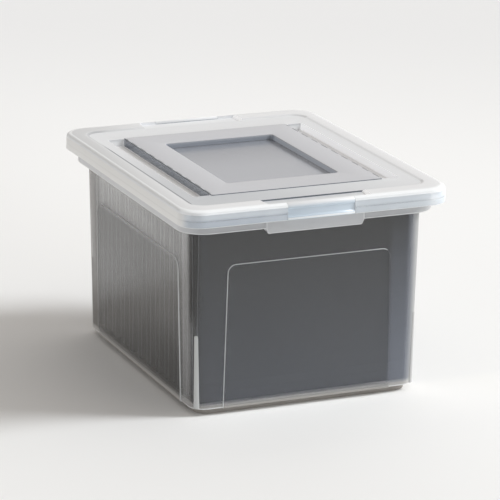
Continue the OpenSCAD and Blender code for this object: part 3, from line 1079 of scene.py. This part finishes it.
def in_lit_recess(face):
    """Whether a face is the end or outer wall of a slot or trough that looks away from the key lamp."""
    x, y, z = middle(face) / MM
    in_trough = 133 < x < 145 and abs(y) < 156 and z > TROUGH + 0.2
    in_slot = 64 < x < 76 and SLOT_FAR < abs(y) < SLOT_NEAR and z > SLOT
    return face.normal.x < -0.4 and (in_trough or in_slot)


def on_lit_slope(face):
    """Whether a face is on the deck's right slope or on the far wall of the back slot."""
    x, y, z = middle(face) / MM
    on_slope = 155 < x < 161 and abs(y) < 180 and z > DECK and face.normal.x < -0.15
    behind_slot = SLOT_NEAR - 3 < y < SLOT_NEAR + 1 and abs(x) < 76 and z > SLOT
    return on_slope or behind_slot and face.normal.y < -0.4


def build_lid():
    wall = sizes().lid_wall / MM
    finishes = lid_finishes()
    lid = painted(ring_shell("lid_moulding", lid_section(wall)), finishes)
    combine(lid, trough("trough_shell", wall, TROUGH - wall, DECK - 0.4, finishes), "UNION")
    combine(lid, trough("trough_hollow", 0, TROUGH, TOP + 2, finishes), "DIFFERENCE")
    tray = slot_block("slot_shell", SLOT_FLOOR, SLOT - SLOT_FLOOR, DECK - 0.2)
    combine(lid, both_ends(tray, "slot_shells", finishes), "UNION")
    hollow = slot_block("slot_hollow", 0, SLOT, TOP + 2)
    combine(lid, both_ends(hollow, "slot_hollows", finishes), "DIFFERENCE")
    half = LATCH_HALF + LATCH_GAP
    opening = block(
        "latch_opening",
        (-half, -LID_HALF[1] - 1, SKIRT - 1),
        (half, 0.01 - SLOT_NEAR, TOP + 2),
    )
    combine(lid, both_ends(opening, "latch_openings", finishes), "DIFFERENCE")
    relief = block(
        "latch_relief",
        (-half, -SLOT_NEAR - 1, SKIRT),
        (half, 2 * LATCH_GAP - SLOT_NEAR, SLOT + 0.01),
    )
    combine(lid, both_ends(relief, "latch_reliefs", finishes), "DIFFERENCE")
    edit(lid)
    # Painted glow on recess walls that look away from the key lamp and on the lit slopes
    finish_faces(lid, LIT, in_lit_recess)
    finish_faces(lid, SLOPE, on_lit_slope)
    dress(lid, "lid_plastic", "lid", "lid")


# ---------------------------------------------------------------- latches


def latch_section():
    """Outline of a latch at the front: edge roll, recessed face, pull lip and hook ledge, as (y, z)
    points."""
    face = LID_HALF[1] - 0.8
    low_face, lip = face - 1.4, SKIRT + 3.4
    roll = [
        (face - 5 + 5 * math.cos(math.radians(a)), TOP - 5 + 5 * math.sin(math.radians(a)))
        for a in range(90, -1, -15)
    ]
    points = [
        (SLOT_NEAR + 0.9, SLOT + 0.1), (SLOT_NEAR, SLOT + 0.4), (SLOT_NEAR, TOP - 0.4),
        (SLOT_NEAR + 0.4, TOP), *roll,
        (face, TOP - 6.0), (face - 0.3, TOP - 6.8), (low_face + 0.2, TOP - 7.4), (low_face, TOP - 7.9),
        (low_face, lip + 2.6), (low_face + 0.2, lip + 1.9), (face, lip + 0.6),
        (LID_HALF[1] - 0.1, lip), (LID_HALF[1], lip - 0.5),
        (LID_HALF[1], SKIRT + 0.6), (LID_HALF[1] - 0.5, SKIRT),
        (211.6, SKIRT), (211.0, SKIRT + 0.8), (211.0, SKIRT + 2.1), (211.4, SKIRT + 2.5),
        (223.6, SKIRT + 2.5), (224.4, SKIRT + 3.3), (224.4, TOP - 4.1), (223.7, SLOT + 0.1),
    ]
    return [(-y, z) for y, z in points]


def build_latches():
    front = bar("latch_front_moulding", latch_section(), -LATCH_HALF, LATCH_HALF)
    painted(front, latch_finishes())
    soften(front, 0.0004, 60)
    edit(front)
    low, high = (SKIRT + 0.4) * MM, (SKIRT + 2.9) * MM
    lip, inner = -(LID_HALF[1] - 1) * MM, -(SLOT_NEAR + 1) * MM
    # A painted highlight on the pull lip and the cut sides, and a painted glow on the inner face
    finish_faces(front, LATCH_EDGE, lambda f: low < middle(f).z < high and middle(f).y < lip)
    finish_faces(front, LATCH_EDGE, lambda f: abs(f.normal.x) > 0.5)
    finish_faces(front, LATCH_LIT, lambda f: f.normal.y > 0.5 and middle(f).y > inner)
    close_up(front)
    back = moved(copy_of(front, "latch_back_moulding"), HALF_TURN)
    dress(front, "latch_plastic", "latch_front", "latch_front")
    dress(back, "latch_plastic", "latch_back", "latch_back")


# ---------------------------------------------------------------- folders


def folder_section(board):
    """Outline of one folder: two hems round their rods, two creased sides and a flat bottom, as (y, z)
    points."""
    rod, hem, top, low = ROD_Y, 2.0, 255.4, 248.0
    bottom, base, neck = 13.7, 6.0, 246.5
    foot = bottom + 1.5
    half = board / 2

    def side(sign):
        """Outer face of one side from the bottom up, and its inner face from the top down."""
        slope = (rod + half - base) / (neck - foot)
        creases = []
        for height in (12.0, 24.0):
            y, z = base + slope * height, foot + height
            creases += [(y - slope * 0.5, z - 0.5), (y - 0.1, z), (y + slope * 0.5, z + 0.5)]
        outer = [
            (base - 1.3, bottom), (base - 0.4, bottom + 0.4), (base, foot), *creases,
            (rod + half, neck), (rod + half + 0.5, low - 0.9), (rod + hem, low + 0.3),
            (rod + hem, top - 0.8), (rod + hem - 0.3, top - 0.2), (rod + hem - 0.9, top),
        ]
        inner = [
            (rod - hem + 0.9, top), (rod - hem + 0.3, top - 0.2), (rod - hem, top - 0.8),
            (rod - hem, low + 0.3), (rod - half - 0.5, low - 0.9), (rod - half, neck),
            (base - board, bottom + 1.9), (base - board - 0.4, bottom + board + 0.3),
            (base - board - 0.9, bottom + board),
        ]
        return [(sign * y, z) for y, z in outer + inner]

    return side(1) + side(-1)[::-1]


def build_folders():
    low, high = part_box("folder_01")
    half = (high.x - low.x) / 2 / MM
    model = bar("folder_model", folder_section(sizes().board / MM), -half, half)
    painted(model, [board_finish()])
    rods = [
        block("rod_room", (-half - 5, y - 1.2, 248.8), (half + 5, y + 1.2, 254.6))
        for y in (-ROD_Y, ROD_Y)
    ]
    combine(model, joined(rods, "rod_rooms"), "DIFFERENCE")
    slits = [
        block("slit", (x - 9, -20, 250.6), (x + 9, -12.4, 252.4)) for x in range(-125, 126, 25)
    ]
    combine(model, joined(slits, "tab_slits"), "DIFFERENCE")
    for name in sorted(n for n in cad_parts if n.startswith("folder_")):
        low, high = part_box(name)
        shift = Matrix.Translation((0, (low.y + high.y) / 2, 0))
        piece = moved(copy_of(model, name + "_board"), shift)
        dress(piece, "folder_board", name, name)
    bpy.data.objects.remove(model)


def finish_hangers():
    material = steel_finish()
    for name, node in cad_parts.items():
        if name.startswith("hanger_"):
            for slot in node.material_slots:
                slot.link = "OBJECT"
                slot.material = material


# ---------------------------------------------------------------- stage


# Lamps: name, azimuth, elevation and width in degrees, strength and colour
LAMPS = (
    ("key", -19, 37, 17, 2.40, (0.95, 0.98, 1.0)),
    ("front fill", -95, 12, 50, 0.30, (0.70, 0.88, 1.0)),
    ("left fill", 185, 5, 50, 0.65, (1.0, 0.99, 0.98)),
)

# World light: its colour, its strength at the middle and how much that rises towards +X
SKY_COLOUR = (1.0, 0.945, 0.885, 1.0)
SKY_STRENGTH = 0.54
SKY_RISE = 0.40

# Camera: turn, height and tilt in degrees, distance and height of the aim in metres, focal length and
# the aim's place in pixels of a square frame
TURN, CLIMB, TILT = -22.97, 16.31, 0.67
DISTANCE, AIM = 3.91008, 0.138
FOCAL, CENTRE, FRAME_SIDE = 2989.88, (248.94, 259.26), 500
SENSOR = 36.0


def towards(azimuth, elevation):
    """Direction at this azimuth from +X and this elevation, in degrees."""
    a, e = math.radians(azimuth), math.radians(elevation)
    return Vector((math.cos(a) * math.cos(e), math.sin(a) * math.cos(e), math.sin(e)))


def lay_floor():
    deselect_all()
    bpy.ops.mesh.primitive_plane_add(size=40)
    floor = bpy.context.object
    floor.name = "floor"
    bpy.ops.object.mode_set(mode="EDIT")
    bpy.ops.mesh.select_all(action="SELECT")
    bpy.ops.mesh.subdivide(number_cuts=3)
    bpy.ops.object.mode_set(mode="OBJECT")
    floor.data.materials.append(floor_finish())


def light_studio(scene):
    world = bpy.data.worlds.new("studio")
    scene.world = world
    world.use_nodes = True
    nodes, links = world.node_tree.nodes, world.node_tree.links
    background = nodes["Background"]
    background.inputs["Color"].default_value = SKY_COLOUR
    place = nodes.new("ShaderNodeTexCoord")
    split = nodes.new("ShaderNodeSeparateXYZ")
    strength = nodes.new("ShaderNodeMath")
    strength.operation = "MULTIPLY_ADD"
    strength.inputs[1].default_value = SKY_RISE
    strength.inputs[2].default_value = SKY_STRENGTH
    links.new(place.outputs["Generated"], split.inputs[0])
    links.new(split.outputs["X"], strength.inputs[0])
    links.new(strength.outputs[0], background.inputs["Strength"])
    for name, azimuth, elevation, width, energy, colour in LAMPS:
        light = bpy.data.lights.new(name, "SUN")
        light.angle, light.energy, light.color = math.radians(width), energy, colour
        holder = bpy.data.objects.new(name, light)
        scene.collection.objects.link(holder)
        holder.rotation_mode = "QUATERNION"
        holder.rotation_quaternion = towards(azimuth, elevation).to_track_quat("Z", "Y")


def set_camera(scene):
    back = towards(TURN - 90, CLIMB)
    right = (-back).cross(Vector((0, 0, 1))).normalized()
    up = right.cross(-back)
    tilt = math.radians(TILT)
    right, up = (
        right * math.cos(tilt) + up * math.sin(tilt),
        up * math.cos(tilt) - right * math.sin(tilt),
    )
    camera = bpy.data.cameras.new("camera")
    camera.sensor_width = SENSOR
    camera.lens = FOCAL / FRAME_SIDE * SENSOR
    camera.shift_x = 0.5 - CENTRE[0] / FRAME_SIDE
    camera.shift_y = CENTRE[1] / FRAME_SIDE - 0.5
    camera.clip_start, camera.clip_end = 0.1, 100
    holder = bpy.data.objects.new("camera", camera)
    scene.collection.objects.link(holder)
    axes = Matrix((right, up, back)).transposed().to_4x4()
    holder.matrix_world = Matrix.Translation(Vector((0, 0, AIM)) + back * DISTANCE) @ axes
    scene.camera = holder


def build_stage():
    scene = bpy.context.scene
    lay_floor()
    light_studio(scene)
    set_camera(scene)
    scene.view_settings.view_transform = "Standard"
    scene.cycles.transparent_max_bounces = 48


# ---------------------------------------------------------------- operators and panel


class FileBoxStage(bpy.types.Operator):
    """Set up the floor, the lamps and the camera"""

    bl_idname = "mesh.file_box_stage"
    bl_label = "Stage"

    def execute(self, context):
        build_stage()
        return {"FINISHED"}


class FileBoxTub(bpy.types.Operator):
    """Mould the tub with its panels, ribs, rim and grips"""

    bl_idname = "mesh.file_box_tub"
    bl_label = "Tub"

    def execute(self, context):
        build_tub()
        return {"FINISHED"}


class FileBoxLid(bpy.types.Operator):
    """Mould the lid with its window, troughs and slots"""

    bl_idname = "mesh.file_box_lid"
    bl_label = "Lid"

    def execute(self, context):
        build_lid()
        return {"FINISHED"}


class FileBoxLatches(bpy.types.Operator):
    """Mould the two latches"""

    bl_idname = "mesh.file_box_latches"
    bl_label = "Latches"

    def execute(self, context):
        build_latches()
        return {"FINISHED"}


class FileBoxFolders(bpy.types.Operator):
    """Fold the hanging folders"""

    bl_idname = "mesh.file_box_folders"
    bl_label = "Folders"

    def execute(self, context):
        build_folders()
        return {"FINISHED"}


class FileBoxHangers(bpy.types.Operator):
    """Finish the hanger rods"""

    bl_idname = "mesh.file_box_hangers"
    bl_label = "Hanger Rods"

    def execute(self, context):
        finish_hangers()
        return {"FINISHED"}


BUILDERS = (FileBoxStage, FileBoxTub, FileBoxLid, FileBoxLatches, FileBoxFolders, FileBoxHangers)


class FileBoxPanel(bpy.types.Panel):
    """Lists the pieces of the file box with their sizes and colours"""

    bl_idname = "VIEW3D_PT_file_box"
    bl_label = "File Box"
    bl_space_type = "VIEW_3D"
    bl_region_type = "UI"
    bl_category = "File Box"

    def draw(self, context):
        column = self.layout.column()
        for group in (context.scene.file_box_sizes, context.scene.file_box_finish):
            for name in group.__annotations__:
                column.prop(group, name)
            column.separator()
        for builder in BUILDERS:
            column.operator(builder.bl_idname)


CLASSES = (FileBoxSizes, FileBoxFinish, *BUILDERS, FileBoxPanel)


def register():
    for each in CLASSES:
        bpy.utils.register_class(each)
    bpy.types.Scene.file_box_sizes = PointerProperty(type=FileBoxSizes)
    bpy.types.Scene.file_box_finish = PointerProperty(type=FileBoxFinish)


def unregister():
    del bpy.types.Scene.file_box_finish
    del bpy.types.Scene.file_box_sizes
    for each in reversed(CLASSES):
        bpy.utils.unregister_class(each)


def main():
    register()
    bpy.ops.mesh.file_box_stage()
    bpy.ops.mesh.file_box_tub()
    bpy.ops.mesh.file_box_lid()
    bpy.ops.mesh.file_box_latches()
    bpy.ops.mesh.file_box_folders()
    bpy.ops.mesh.file_box_hangers()


if __name__ == "__main__":
    main()
